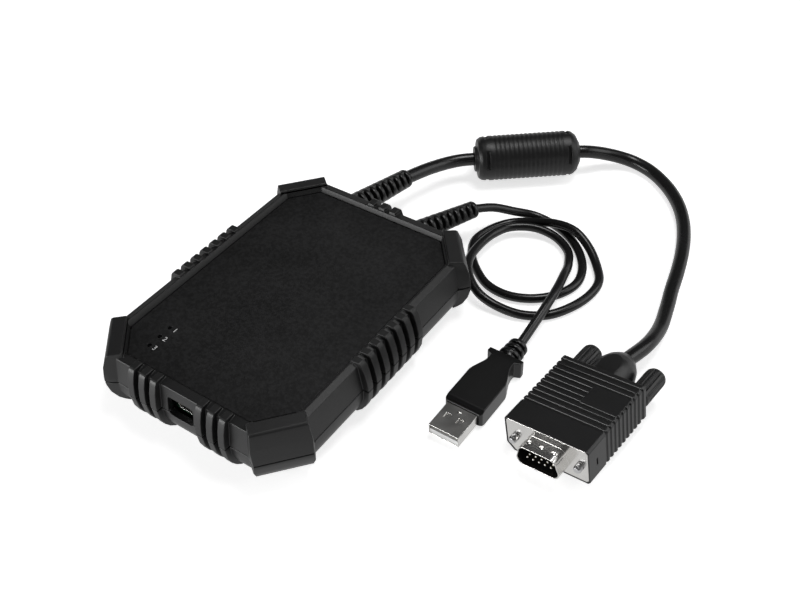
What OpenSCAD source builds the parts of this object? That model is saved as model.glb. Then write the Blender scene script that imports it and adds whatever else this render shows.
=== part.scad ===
// Crash cart adapter: a small eight-sided box that joins a laptop to a server's video and keyboard sockets.
// The box lies flat. Its socket faces -Y and its two captive leads leave at +Y.
// A ribbed video lead carries an interference sleeve and a fifteen-pin plug.
// A thin keyboard lead lies in two loose loops and ends in a flat four-contact plug.

/* [Case] */
// Half width of the top plate
plate_half_w = 37.2; // [35:0.1:42]
// Half length of the top plate
plate_half_l = 53.8; // [51:0.1:60]
// Corner cut of the plate, measured across the case
corner_cut_w = 8.6; // [7:0.1:11]
// Corner cut of the plate, measured along the case
corner_cut_l = 10.2; // [8:0.1:12]
// Thickness of the top plate
plate_t = 1.2; // [0.8:0.1:1.6]
// Gap round the plate
plate_gap = 0.45; // [0.3:0.05:0.7]
// Height of the parting plane of the two shells
split_z = 14; // [13:0.1:15.5]
// Height of the upper shell above the parting plane
upper_h = 10.9; // [10:0.1:12]
// Depth of the plate's top below the rim
plate_drop = 1.8; // [1:0.1:2.2]
// How far the wall stands out past the plate at the parting plane
wall_out = 6.3; // [5.5:0.1:7.5]
// Wall thickness of both shells
wall_t = 2.8; // [2:0.1:3.2]
// Floor thickness of the lower shell
floor_t = 2.4; // [1.8:0.1:3]
// Thickness of the deck under the plate
deck_t = 1.6; // [1.2:0.1:2.2]
// Width and depth of the groove along the parting plane
groove = 0.4; // [0.2:0.05:0.6]

/* [Bumpers] */
// How far the ribs stand out past the plate
rib_out = 8.6; // [7.6:0.1:9]
// Width of one rib
rib_w = 2.8; // [2:0.1:3.4]
// Pitch of the ribs
rib_pitch = 5.05; // [4.2:0.05:5.6]
// Height of the ribs' tops above the rim
rib_rise = 1; // [0.2:0.05:1.2]
// Number of ribs on each long side
side_ribs = 7; // [5:1:9]
// Number of ribs beside the socket, on each side of it
front_ribs = 3; // [2:1:3]
// Distance of the first front rib from the middle
front_rib_x = 10.2; // [9:0.1:12]
// Number of ribs between the two leads
back_ribs = 3; // [1:2:3]
// Distance of the middle one of these ribs from the middle of the back wall
back_rib_x = 0; // [-2:0.1:2]
// How far the corner guards stand out past the plate's corner cut
guard_out = 9.6; // [8.5:0.1:10.5]
// Length of a corner guard at the parting plane
guard_l = 21.6; // [17:0.1:23]
// Height of the guards' tops above the rim
guard_rise = 1.3; // [0.4:0.1:1.6]
// Dark gap between the plate and a guard
guard_gap = 0.6; // [0.3:0.1:1.4]

/* [Socket] */
// Width of the socket's mouth in the front wall
port_w = 11.5; // [10.5:0.1:13]
// Height of the socket's mouth
port_h = 7.9; // [6.8:0.1:8.4]
// Corner radius at the foot of the mouth
port_low_r = 2.6; // [1:0.1:3]
// Corner radius at the top of the mouth
port_top_r = 1.2; // [0.5:0.1:2]
// Width of the mini socket
mini_w = 7.7; // [7:0.1:8.4]
// Height of the mini socket
mini_h = 3.9; // [3.4:0.1:4.2]
// Length of the mini socket
mini_l = 9.2; // [8:0.1:10]
// Sheet thickness of the mini socket
mini_t = 0.35; // [0.25:0.05:0.45]

/* [Lamps] */
// Diameter of a lamp window
lamp_d = 1.5; // [1.2:0.1:2.4]
// Distance of the lamps from the plate's middle line
lamp_x = 25.5; // [20:0.1:29]
// Distance of the nearest lamp from the plate's front edge
lamp_y = 7.2; // [6.5:0.1:12]
// Pitch of the three lamps
lamp_pitch = 5.05; // [4:0.05:5.5]

/* [Board] */
// Thickness of the circuit board
board_t = 1.6; // [1:0.1:2]
// Gap between the board's edge and the case wall
board_gap = 1; // [0.6:0.1:2]
// Clear length behind the board for the two leads
board_cut = 10; // [9:0.1:12]
// Distance of the case screws from the middle, across the case
screw_x = 31.5; // [29:0.1:32.5]
// Distance of the case screws from the middle, along the case
screw_y = 37; // [34:0.1:39]
// Shaft diameter of a case screw
screw_d = 2.6; // [2.2:0.1:3]
// Head diameter of a case screw
screw_head_d = 5; // [4.4:0.1:5.4]
// Diameter of a screw post
post_d = 7.2; // [6.6:0.1:8]

/* [Leads] */
// Diameter of the video lead
video_d = 5.6; // [5:0.1:6]
// Diameter of the keyboard lead
keyboard_d = 3.6; // [3:0.1:3.8]
// Distance of the video boot from the middle of the back wall
video_x = 20.2; // [19:0.1:24]
// Distance of the keyboard boot from the middle of the back wall
keyboard_x = 10.2; // [8:0.1:12]
// Diameter of the video boot at the wall
video_boot_d = 10; // [9:0.1:12]
// Diameter of the keyboard boot at the wall
keyboard_boot_d = 8.9; // [8:0.1:11]
// Number of ribs on a boot
boot_ribs = 8; // [6:1:9]

/* [Interference sleeve] */
// Diameter of the sleeve
sleeve_d = 19.4; // [17:0.1:21]
// Diameter of the ferrite inside
ferrite_d = 15; // [13:0.1:16]
// Length of the ferrite inside
ferrite_l = 30; // [26:0.5:34]
// Number of grooves round the sleeve
sleeve_grooves = 16; // [7:1:18]

/* [Video plug] */
// Width of the plug's hood
hood_w = 32.3; // [31.4:0.1:34]
// Height of the hood
hood_h = 14.6; // [14:0.1:16]
// Length of the hood
hood_l = 35.6; // [32:0.1:40]
// Chamfer along the hood's lower left edge
hood_cut = 2.8; // [2:0.1:3.2]
// Turn of the plug on the table
plug_yaw = -4.4; // [-10:0.1:10]
// Roll of the plug about its own length
plug_roll = 8.4; // [0:0.1:12]
// Distance between the thumb-screws
jack_pitch = 24.99; // [24.9:0.01:25.1]
// Shaft diameter of a thumb-screw
jack_d = 2.84; // [2.6:0.01:3]
// Shank diameter of a thumb-screw behind its threaded end
jack_shank_d = 2.5; // [2.2:0.01:2.7]
// Diameter of a thumb-screw's knob
knob_d = 7.8; // [6.6:0.1:8]
// Length of a knob behind the hood
knob_l = 14.3; // [9:0.1:15]
// Width of the connector's shell at its wide side
dsub_w = 16.9; // [16.6:0.05:17.2]
// Height of the connector's shell
dsub_h = 8.36; // [8.2:0.02:8.5]
// Length of the connector's shell in front of the flange
dsub_l = 5.85; // [5.6:0.05:6.3]
// Length of the cable boot behind the hood
hood_boot_l = 15; // [12:0.1:17]
// Width of that boot
hood_boot_w = 15.6; // [13:0.1:17]

/* [Keyboard plug] */
// Width of the plug's metal shell
flat_w = 12; // [11.8:0.05:12.2]
// Height of the metal shell
flat_h = 4.5; // [4.3:0.05:4.7]
// Exposed length of the metal shell
flat_l = 12; // [11.5:0.1:12.5]
// Sheet thickness of the metal shell
flat_t = 0.3; // [0.25:0.01:0.4]
// Width of the plug's grip
grip_w = 15; // [14:0.1:16]
// Height of the grip
grip_h = 7.6; // [7:0.1:8]
// Length of the grip
grip_l = 29.7; // [27:0.1:33]
// Length of the ribbed relief behind the grip
relief_l = 9.7; // [8:0.1:12]

/* [Hidden] */

// One overrun for every cut that runs out of a solid
over = 1;
// Clearance between a moulded part and the hole that it sits in
seat_gap = 0.1;
// Radial clearance of a screw that turns in its bore
run_gap = 0.06;
// Smallest gap between two pieces that turn against each other
turn_gap = 0.3;
// Smoothness of round parts
$fn = 48;

// The case's levels
rim_z = split_z + upper_h;
plate_top = rim_z - plate_drop;
deck_top = plate_top - plate_t;
deck_low = deck_top - deck_t;
cavity_out = wall_out - wall_t;
rim_out_share = 0.73;
rim_drop_share = 0.055;
crest_w = 0.15;
rim_lean = 0.65;

// Outline of the plate moved outward by d: eight corners of a box with its corners cut
cut_len = norm([corner_cut_w, corner_cut_l]);
cut_nx = corner_cut_l / cut_len;
cut_ny = corner_cut_w / cut_len;
function cut_reach(d) = cut_nx * plate_half_w + cut_ny * (plate_half_l - corner_cut_l) + d;
function corner_a(d) = [plate_half_w + d, (cut_reach(d) - cut_nx * (plate_half_w + d)) / cut_ny];
function corner_b(d) = [(cut_reach(d) - cut_ny * (plate_half_l + d)) / cut_nx, plate_half_l + d];
function turned(p, sx, sy) = [sx * p[0], sy * p[1]];
function outline(d) = [
    turned(corner_a(d), 1, -1), turned(corner_a(d), 1, 1), turned(corner_b(d), 1, 1),
    turned(corner_b(d), -1, 1), turned(corner_a(d), -1, 1), turned(corner_a(d), -1, -1),
    turned(corner_b(d), -1, -1), turned(corner_b(d), 1, -1)];

// The lower wall draws in towards the floor; shares of its reach and of its height
lower_wall_shares = [[-0.3, 0], [0.16, 0.08], [0.47, 0.215], [0.75, 0.4], [0.94, 0.65], [1, 1]];
lower_cavity_shares = [[-0.75, 0], [0.15, 0.1], [0.96, 0.5], [1, 1]];

// A bumper's section above the parting plane: shares of its reach and of its height
rib_top_shares = [[0.5, 0], [1, 0], [0.985, 0.22], [0.9, 0.58], [0.77, 0.87], [0.69, 0.96], [0.6, 1],
    [0.22, 1], [0.17, 0.86], [0.42, 0.55]];
// A bumper's section below the parting plane: shares of its reach and of the parting plane's height
rib_low_shares = [[0.5, 1], [1, 1], [0.93, 0.64], [0.77, 0.39], [0.57, 0.21], [0.28, 0.04],
    [0.12, 0.12], [0.35, 0.36], [0.48, 0.64]];
guard_top_shares = [[0.5, 0], [1, 0], [0.98, 0.2], [0.91, 0.55], [0.78, 0.84], [0.72, 0.94],
    [0.64, 0.975], [0.17, 1], [0.12, 0.97], [0.1, 0.9], [0.1, 0.62], [0.3, 0.5]];
guard_low_shares = [[0.5, 1], [1, 1], [0.98, 0.86], [0.87, 0.62], [0.68, 0.38], [0.47, 0.27],
    [0.28, 0.2], [0.35, 0.36], [0.48, 0.64]];
// A guard's half length at each height, and its narrowing outward
guard_end_shares = [[0.8, 0], [0.88, 0.15], [1, 0.5], [0.99, 0.6], [0.88, 1]];
guard_plan_shares = [[1, 0], [1, 0.68], [0.92, 1]];

// The board and what stands on it
board_z = split_z - board_t * 0.78;
board_top = board_z + board_t;
board_front = plate_half_l + cavity_out - board_gap;
board_back = plate_half_l - board_cut;
port_foot = board_top + mini_h / 2 - port_h / 2;
mini_front = plate_half_l + wall_out - wall_t - mini_t;
lead_z = split_z;
lead_inside = 8;
pilot_d = screw_d * 0.85;
head_h = screw_d * 0.7;
head_seat = floor_t + head_h;

// Where the two boots end, which is where the free cords begin
video_boot_end = [-13.2, 92, 12.7];
keyboard_boot_end = [22.1, 89.3, 12.6];

// The video cord's route, from its boot through the sleeve to the plug
video_route = [
    [-13.2, 92, 12.7], [-10.4, 101.7, 11.8], [-7.6, 110.5, 10.4], [-3.6, 117.3, 9.8], [1.5, 122.1, 9.7],
    [9.9, 128.8, 9.7], [17.4, 134.8, 9.7], [24.9, 140.8, 9.7], [32.4, 146.8, 9.7], [39.9, 152.8, 9.7],
    [47.5, 160.5, 6.4], [56.5, 165, 3.6], [66.5, 163.5, 2.8], [76.5, 157.5, 2.8], [85, 149.5, 2.8],
    [91.5, 140.5, 2.8], [96.5, 130.5, 2.8], [100.5, 119.5, 2.8], [103.5, 108.5, 2.8], [106, 97.5, 2.8],
    [109, 86, 3.2], [111.6, 74, 4.7], [112.3, 61, 7.6], [110.1, 48.6, 9.2]];
// The sleeve's two ends on that route
sleeve_from = [1.5, 122.1, 9.7];
sleeve_to = [37.2, 150.7, 9.7];
// The keyboard cord's route: two loose loops, then over them to the plug
keyboard_route = [
    [22.1, 89.3, 12.6], [26.5, 97, 10], [32, 104.2, 5.6], [39.5, 109.5, 2.8], [49, 109.4, 1.8],
    [58, 105.5, 1.8], [65.8, 99, 1.8], [71.4, 90.6, 1.8], [73.2, 81.5, 1.8], [69.9, 72.5, 1.8],
    [63, 65.5, 1.8], [54, 62, 1.8], [44.5, 63, 1.8], [36, 68.5, 1.8], [29.5, 75.5, 1.8], [26, 84, 1.8],
    [28, 93.5, 1.8], [33, 101.5, 1.8], [41.5, 105.2, 3.2], [50.8, 106.4, 5.6], [59.5, 106, 5.9],
    [67.6, 102.6, 3.8], [74.8, 96.2, 1.8], [80, 88, 1.8], [80.5, 78.5, 1.8], [77.6, 68.8, 1.8],
    [72.3, 60.6, 1.8], [64.2, 55.6, 1.8], [54.5, 53.9, 2.6], [45.5, 54.7, 4.4], [37.7, 60.1, 5.8],
    [33, 68, 6.1], [31.5, 77.5, 5.6], [32, 87.5, 4.8], [35.5, 96, 4.2], [43.5, 101.3, 3.8],
    [52.6, 102.2, 2.6], [61, 97.8, 1.9], [65.8, 89.3, 2.8], [68.5, 80, 5.2], [70.5, 70.5, 6.3],
    [71.5, 61, 6.1], [72, 51, 4.9], [72.5, 40, 3.8]];

// Vector help
function unit(v) = v / norm(v);
function last(list) = list[len(list) - 1];
function side_of(t) = unit(cross(t, [0, 0, 1]));
function both_sides(half) = concat(half, [for (i = [len(half) - 1:-1:0]) [-half[i][0], half[i][1]]]);
function swapped(list) = [for (p = list) [p[1], p[0]]];
function lean(from, to) = [acos((to[2] - from[2]) / norm(to - from)), 0,
    90 + atan2(to[1] - from[1], to[0] - from[0])];

// A tube swept along points: each ring is square to the route there
function heading(p, i) = unit(p[min(i + 1, len(p) - 1)] - p[max(i - 1, 0)]);
function ring(c, t, r, n) = [for (k = [0:n - 1]) let(a = (k + 0.5) * 360 / n)
    c + r * cos(a) * side_of(t) + r * sin(a) * cross(side_of(t), t)];
module tube(points, d, n) {
    rings = len(points);
    r = d / 2 / cos(180 / n);
    verts = [for (i = [0:rings - 1]) each ring(points[i], heading(points, i), r, n)];
    sides = [for (i = [0:rings - 2], k = [0:n - 1]) let(a = i * n + k, b = i * n + (k + 1) % n)
        each [[a, a + n, b], [b, a + n, b + n]]];
    near_end = [for (k = [1:n - 2]) [0, k, k + 1]];
    far_end = [for (k = [1:n - 2]) [(rings - 1) * n, (rings - 1) * n + k + 1, (rings - 1) * n + k]];
    polyhedron(points = verts, faces = concat(sides, near_end, far_end), convexity = 10);
}

// The least distance between two stretches of a cord, surface to surface, printed for the reader
function least_gap(p, d, skip) = min([for (i = [0:len(p) - 1 - skip]) for (j = [i + skip:len(p) - 1])
    norm(p[i] - p[j])]) - d;
echo(keyboard_cord_least_gap_at_points = least_gap(keyboard_route, keyboard_d, 3));

// A solid through a stack of case outlines, each given as reach and height
module loft(levels) {
    count = len(levels);
    verts = [for (l = levels) each [for (p = outline(l[0])) [p[0], p[1], l[1]]]];
    sides = [for (i = [0:count - 2], k = [0:7]) let(a = i * 8 + k, b = i * 8 + (k + 1) % 8)
        each [[a, a + 8, b], [b, a + 8, b + 8]]];
    foot = [for (k = [1:6]) [0, k, k + 1]];
    head = [for (k = [1:6]) [(count - 1) * 8, (count - 1) * 8 + k + 1, (count - 1) * 8 + k]];
    polyhedron(points = verts, faces = concat(sides, foot, head), convexity = 6);
}
module slab(d, low, high) {
    translate([0, 0, low]) linear_extrude(high - low) polygon(outline(d));
}

// Places for parts that repeat
module at_corners() {
    for (sx = [0, 1], sy = [0, 1]) mirror([sx, 0, 0]) mirror([0, sy, 0]) children();
}
module at_posts() {
    for (sx = [-1, 1], sy = [-1, 1]) translate([sx * screw_x, sy * screw_y, 0]) children();
}
module at_lamps() {
    for (i = [0:2]) translate([-lamp_x, lamp_y - plate_half_l + i * lamp_pitch, 0]) children();
}
module at_side_ribs() {
    for (sx = [0, 1], i = [0:side_ribs - 1]) mirror([sx, 0, 0])
        translate([plate_half_w, (i - (side_ribs - 1) / 2) * rib_pitch, 0]) children();
}
module at_front_ribs() {
    for (sx = [-1, 1], i = [0:front_ribs - 1])
        translate([sx * (front_rib_x + i * rib_pitch), -plate_half_l, 0]) rotate([0, 0, -90]) children();
}
module at_back_ribs() {
    for (i = [0:back_ribs - 1])
        translate([back_rib_x + (i - (back_ribs - 1) / 2) * rib_pitch, plate_half_l, 0])
            rotate([0, 0, 90]) children();
}
function scaled(shares, reach, low, high) = [for (s = shares) [s[0] * reach, low + s[1] * (high - low)]];
module upright(points, w) {
    rotate([90, 0, 0]) linear_extrude(w, center = true) polygon(points);
}
module ribs(points) {
    at_side_ribs() upright(points, rib_w);
    at_front_ribs() upright(points, rib_w);
    at_back_ribs() upright(points, rib_w);
}
module guards(points) {
    high = rim_z + guard_rise;
    ends = [for (s = guard_end_shares) [s[0] * guard_l / 2, s[1] * high]];
    plan = [for (s = guard_plan_shares) [s[0] * guard_l / 2, s[1] * guard_out]];
    at_corners() translate([plate_half_w - corner_cut_w / 2, plate_half_l - corner_cut_l / 2, 0])
        rotate([0, 0, atan2(corner_cut_w, corner_cut_l)]) intersection() {
            upright(points, guard_l);
            rotate([90, 0, 90]) linear_extrude(guard_out)
                polygon(both_sides(ends));
            linear_extrude(high) polygon(swapped(both_sides(plan)));
        }
}
module guard_slots(low, high) {
    at_corners() translate([plate_half_w - corner_cut_w / 2, plate_half_l - corner_cut_l / 2, low])
        rotate([0, 0, atan2(corner_cut_w, corner_cut_l)])
            translate([0, -cut_len / 2, 0]) cube([guard_gap, cut_len, high - low]);
}

// The mouth for the mini socket: a block with round corners, standing in the front wall
module port_block(length) {
    low = port_low_r;
    top = port_top_r;
    rotate([90, 0, 0]) linear_extrude(length) {
        for (s = [-1, 1]) {
            translate([s * (port_w / 2 - low), low]) circle(low);
            translate([s * (port_w / 2 - top), port_h - top]) circle(top);
        }
        translate([-port_w / 2, low]) square([port_w, port_h - low - top]);
        translate([low - port_w / 2, 0]) square([port_w - 2 * low, low + over]);
        translate([top - port_w / 2, port_h - top]) square([port_w - 2 * top, top]);
    }
}
module port_cut() {
    translate([0, -board_front, port_foot]) port_block(rib_out + over);
}
boot_room_share = 1.16;
module lead_cuts() {
    for (lead = [[-video_x, video_boot_d], [keyboard_x, keyboard_boot_d]])
        translate([lead[0], plate_half_l, lead_z]) rotate([-90, 0, 0])
            union() {
                cylinder(d = lead[1] * neck_share + 2 * seat_gap, h = rib_out + over);
                translate([0, 0, wall_out])
                    cylinder(d = lead[1] * boot_room_share + 2 * seat_gap, h = rib_out - wall_out + over);
            }
}

// The lower shell: floor, drawn-in wall, lower halves of the bumpers and four screw posts
module lower_case() {
    color([0.07, 0.07, 0.075]) difference() {
        union() {
            difference() {
                union() {
                    loft(scaled(lower_wall_shares, wall_out, 0, split_z));
                    ribs(scaled(rib_low_shares, rib_out, 0, split_z));
                    guards(scaled(guard_low_shares, guard_out, 0, split_z));
                }
                loft(concat(scaled(lower_cavity_shares, cavity_out, floor_t, split_z),
                    [[cavity_out, split_z + over]]));
                parting_groove();
                port_cut();
                lead_cuts();
            }
            at_posts() cylinder(d = post_d, h = board_z);
        }
        at_posts() translate([0, 0, -over]) cylinder(d = screw_d + 2 * seat_gap, h = board_z + 2 * over);
        at_posts() translate([0, 0, -over]) cylinder(d = screw_head_d + 4 * seat_gap, h = head_seat + over);
    }
}
module parting_groove() {
    difference() {
        slab(rib_out + over + guard_out, split_z - groove, split_z + over);
        slab(wall_out - 2 * groove, split_z - groove - over, split_z + 2 * over);
    }
}

// The upper shell: sloping rim, deck under the plate, upper halves of the bumpers and four bosses
module upper_case() {
    color([0.07, 0.07, 0.075]) difference() {
        union() {
            difference() {
                union() {
                    loft([[wall_out, split_z], [wall_out * rim_out_share, rim_z - upper_h * rim_drop_share],
                        [plate_gap + rim_lean + crest_w, rim_z]]);
                    ribs(scaled(rib_top_shares, rib_out, split_z, rim_z + rib_rise));
                    guards(scaled(guard_top_shares, guard_out, split_z, rim_z + guard_rise));
                }
                slab(cavity_out, split_z - over, deck_low);
                loft([[plate_gap, deck_top], [plate_gap, plate_top], [plate_gap + rim_lean, rim_z],
                    [plate_gap + rim_lean, rim_z + guard_rise + over]]);
                guard_slots(deck_top, rim_z + guard_rise + over);
                at_lamps() translate([0, 0, deck_low - over])
                    cylinder(d = lamp_d + 2 * seat_gap, h = deck_t + 2 * over);
                port_cut();
                lead_cuts();
            }
            at_posts() translate([0, 0, board_top]) cylinder(d = post_d, h = deck_low - board_top);
        }
        at_posts() translate([0, 0, board_top - over]) cylinder(d = pilot_d, h = deck_low - board_top + over);
    }
}

// The plate in the top, with three lamp windows
module top_plate() {
    color([0.1, 0.1, 0.11]) difference() {
        slab(0, deck_top, plate_top);
        at_lamps() translate([0, 0, deck_top - over])
            cylinder(d = lamp_d + 2 * seat_gap, h = plate_t + 2 * over);
    }
}
module light_pipes() {
    foot = board_top + lamp_chip[2];
    color([0.85, 0.87, 0.9]) at_lamps() {
        translate([0, 0, foot + seat_gap])
            cylinder(d = lamp_d, h = plate_top - foot - 2 * seat_gap - groove / 2);
        translate([0, 0, deck_low - lamp_collar]) cylinder(d = lamp_d + 2 * lamp_collar, h = lamp_collar);
    }
}
lamp_collar = 0.7;
lamp_chip = [1.6, 0.8, 0.7];

// Four screws from below, through the floor's posts and the board into the bosses
module case_screws() {
    bite = (deck_low - board_top) * 0.6;
    socket = head_h * 0.5;
    color([0.72, 0.72, 0.74]) at_posts() translate([0, 0, head_seat]) difference() {
        union() {
            cylinder(d = screw_d, h = board_z - head_seat);
            translate([0, 0, board_z - head_seat]) cylinder(d = pilot_d, h = board_t + bite);
            translate([0, 0, -head_h]) cylinder(d = screw_head_d, h = head_h);
        }
        for (a = [0, 90]) rotate([0, 0, a]) translate([-screw_d / 2, -pilot_d / 8, -head_h - over])
            cube([screw_d, pilot_d / 4, socket + over]);
    }
}
module board_shape(grow) {
    intersection() {
        polygon(outline(cavity_out - board_gap + grow));
        translate([-plate_half_w - wall_out, -plate_half_l - wall_out])
            square([2 * (plate_half_w + wall_out), plate_half_l + wall_out + board_back]);
    }
}
module circuit_board() {
    color([0.06, 0.3, 0.16]) translate([0, 0, board_z]) difference() {
        linear_extrude(board_t) board_shape(0);
        at_posts() translate([0, 0, -over]) cylinder(d = pilot_d + 4 * seat_gap, h = board_t + 2 * over);
    }
}

// Parts that stand on the board; each size is width, depth and height
capture_at = [0, -6];
memory_at = [[18, -12], [18, 6]];
bridge_at = [0, -32];
crystal_at = [-19, -22];
can_at = [[-20, 4], [-20, 12], [12, -36]];
coil_at = [[-12, -36], [4, 14]];
capture_size = [17, 17, 1.5];
memory_size = [10, 12, 1.1];
bridge_size = [9, 9, 0.9];
crystal_size = [11, 4.6, 3.4];
can_d = 5;
can_h = 5.4;
coil_size = [6, 6, 3];
module chip(place, size, tone) {
    pins = 8;
    pitch = size[0] / (pins + 1);
    translate([place[0], place[1], board_top]) {
        color(tone) translate([-size[0] / 2, -size[1] / 2, 0]) cube(size);
        color([0.75, 0.75, 0.77]) for (a = [0, 180], i = [1:pins]) rotate([0, 0, a])
            translate([i * pitch - size[0] / 2 - pitch / 4, size[1] / 2, 0])
                cube([pitch / 2, size[2], size[2] / 2]);
    }
}
module capture_chip() {
    chip(capture_at, capture_size, [0.1, 0.1, 0.1]);
}
module memory_chips() {
    for (place = memory_at) chip(place, memory_size, [0.1, 0.1, 0.1]);
}
module bridge_chip() {
    chip(bridge_at, bridge_size, [0.1, 0.1, 0.1]);
}
module crystal_can() {
    color([0.8, 0.8, 0.82]) translate([crystal_at[0], crystal_at[1], board_top]) {
        for (s = [-1, 1]) translate([s * (crystal_size[0] - crystal_size[1]) / 2, 0, 0])
            cylinder(d = crystal_size[1], h = crystal_size[2]);
        translate([-(crystal_size[0] - crystal_size[1]) / 2, -crystal_size[1] / 2, 0])
            cube([crystal_size[0] - crystal_size[1], crystal_size[1], crystal_size[2]]);
    }
}
module capacitors() {
    color([0.7, 0.7, 0.73]) for (place = can_at)
        translate([place[0], place[1], board_top]) {
            cylinder(d = can_d, h = can_h);
            translate([-can_d / 2, -can_d / 2, 0]) cube([can_d, can_d, can_h / 6]);
        }
}
module coils() {
    color([0.25, 0.25, 0.27]) for (place = coil_at) translate([place[0], place[1], board_top])
        intersection() {
            translate([-coil_size[0] / 2, -coil_size[1] / 2, 0]) cube(coil_size);
            cylinder(d = coil_size[0] * 1.25, h = coil_size[2]);
        }
}
module status_lamps() {
    color([0.95, 0.85, 0.4]) at_lamps() translate([-lamp_chip[0] / 2, -lamp_chip[1] / 2, board_top])
        cube(lamp_chip);
}

// The mini socket: a folded shell whose lower corners step in, a core with a tongue and five contacts
module mini_section(inset) {
    w = mini_w / 2 - inset;
    polygon([[-w, mini_h - inset], [w, mini_h - inset], [w, mini_h * 0.5], [w * 0.82, mini_h * 0.36],
        [w * 0.82, inset], [-w * 0.82, inset], [-w * 0.82, mini_h * 0.36], [-w, mini_h * 0.5]]);
}
module mini_body(inset, from, length) {
    translate([0, -mini_front + from + length, board_top]) rotate([90, 0, 0]) linear_extrude(length)
        mini_section(inset);
}
mini_back = 2.2;
mini_tongue_t = 0.9;
module mini_socket_shell() {
    color([0.8, 0.8, 0.82]) {
        difference() {
            mini_body(0, 0, mini_l);
            mini_body(mini_t, -over, mini_l + 2 * over);
        }
        for (s = [-1, 1]) translate([s * mini_w * 0.48 - mini_w * 0.09, -mini_front + mini_l / 2, board_top])
            cube([mini_w * 0.18, mini_l / 4, mini_t]);
    }
}
module mini_socket_core() {
    tongue_w = mini_w * 0.62;
    color([0.08, 0.08, 0.08]) {
        mini_body(mini_t, mini_l - mini_back, mini_back);
        translate([-tongue_w / 2, -mini_front + mini_back, board_top + mini_h / 2])
            cube([tongue_w, mini_l - 2 * mini_back, mini_tongue_t]);
    }
}
module mini_socket_contacts() {
    pitch = mini_w * 0.104;
    color([0.85, 0.7, 0.35]) for (i = [-2:2])
        translate([i * pitch - pitch / 4, -mini_front + mini_back, board_top + mini_h / 2 - mini_t / 2])
            cube([pitch / 2, mini_l - 2 * mini_back, mini_t / 2]);
}

// Wire headers on the board, the leads' ends inside the case, and the wires between them
video_header_size = [11, 5.8, 5.6];
keyboard_header_size = [9, 5.8, 5.6];
video_header_x = -21.6;
keyboard_header_x = 6;
header_y = board_back - video_header_size[1];
wire_d = 0.8;
module header(x, size) {
    slot = size[1] * 0.3;
    color([0.93, 0.92, 0.88]) translate([x - size[0] / 2, header_y - size[1] / 2, board_top]) difference() {
        cube(size);
        translate([size[0] * 0.15, -over, size[2] * 0.7]) cube([size[0] * 0.7, slot + over, size[2]]);
    }
}
module video_header() {
    header(video_header_x, video_header_size);
}
module keyboard_header() {
    header(keyboard_header_x, keyboard_header_size);
}
neck_share = 0.86;
flange_t = 1.6;
function boot_foot(x) = [x, plate_half_l + wall_out, lead_z];
function lead_start(x, end) = boot_foot(x) - lead_inside * unit(end - boot_foot(x));
function wire_path(start, x, near, far) = let(
        high = board_top + 2 * wire_d,
        face = header_y + video_header_size[1] / 2)
    [[start[0] + near, start[1], start[2]], [start[0] + near, start[1] - 1.5 * wire_d, start[2]],
        [x + far, face + 2 * wire_d, high], [x + far, face, high]];
module video_wires() {
    tones = [[0.75, 0.1, 0.1], [0.1, 0.5, 0.2], [0.15, 0.25, 0.75], [0.8, 0.8, 0.8], [0.1, 0.1, 0.1]];
    start = lead_start(-video_x, video_boot_end);
    for (i = [-2:2]) color(tones[i + 2])
        tube(wire_path(start, video_header_x, i * wire_d * 1.35, i * wire_d * 2.2), wire_d, 6);
}
module keyboard_wires() {
    tones = [[0.75, 0.1, 0.1], [0.85, 0.85, 0.85], [0.1, 0.5, 0.2], [0.1, 0.1, 0.1]];
    start = lead_start(keyboard_x, keyboard_boot_end);
    thin = wire_d * 0.8;
    for (i = [0:3]) color(tones[i])
        tube(wire_path(start, keyboard_header_x, (i - 1.5) * thin * 1.35, (i - 1.5) * thin * 2.6), thin, 6);
}

// A lead's end runs straight from inside the case through its leaning boot
module lead_end(x, d, end) {
    start = lead_start(x, end);
    translate(start) rotate(lean(start, end)) cylinder(d = d, h = norm(end - start));
}
module video_lead_end() {
    color([0.08, 0.08, 0.08]) lead_end(-video_x, video_d, video_boot_end);
}
module keyboard_lead_end() {
    color([0.08, 0.08, 0.08]) lead_end(keyboard_x, keyboard_d, keyboard_boot_end);
}

// A boot: a flange inside the wall, a neck through it and a leaning ribbed cone with a plain nose
boot_nose_share = 0.1;
boot_root_share = 0.13;
boot_tip_share = 0.8;
boot_groove_share = 0.78;
function boot_outline(d, length) = let(
        low = length * boot_root_share,
        high = length * (1 - boot_nose_share),
        nose = length * boot_nose_share,
        tip = d / 2 * boot_tip_share,
        pitch = (high - low) / boot_ribs)
    concat([[0, -d / 2], [d / 2, -d / 2], [d / 2, low]],
        [for (i = [0:boot_ribs - 1]) let(
                r = d / 2 * (1 - (1 - boot_tip_share) * (i + 0.5) / boot_ribs), z = low + i * pitch)
            each [[r * boot_groove_share, z], [r * boot_groove_share, z + pitch * 0.35], [r, z + pitch * 0.45],
                [r, z + pitch]]],
        [[tip * boot_groove_share, high], [tip * boot_groove_share, high + nose * 0.25],
            [tip, high + nose * 0.35], [tip, high + nose * 0.75], [tip * 0.85, length], [0, length]]);
module boot(x, d, lead, end) {
    foot = boot_foot(x);
    start = lead_start(x, end);
    length = norm(end - foot);
    difference() {
        union() {
            intersection() {
                translate(foot) rotate(lean(foot, end)) rotate_extrude() polygon(boot_outline(d, length));
                translate([x - length, foot[1] + seat_gap, lead_z - length])
                    cube([2 * length, 2 * length, 2 * length]);
            }
            translate([x, foot[1] + d / 4, lead_z]) rotate([90, 0, 0])
                cylinder(d = d * neck_share, h = d / 4 + wall_t + flange_t);
            translate([x, foot[1] - wall_t - turn_gap, lead_z]) rotate([90, 0, 0])
                cylinder(d = d * 1.12, h = flange_t);
        }
        translate(start) rotate(lean(start, end)) cylinder(d = lead + seat_gap, h = norm(end - start) + over);
    }
}
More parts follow.
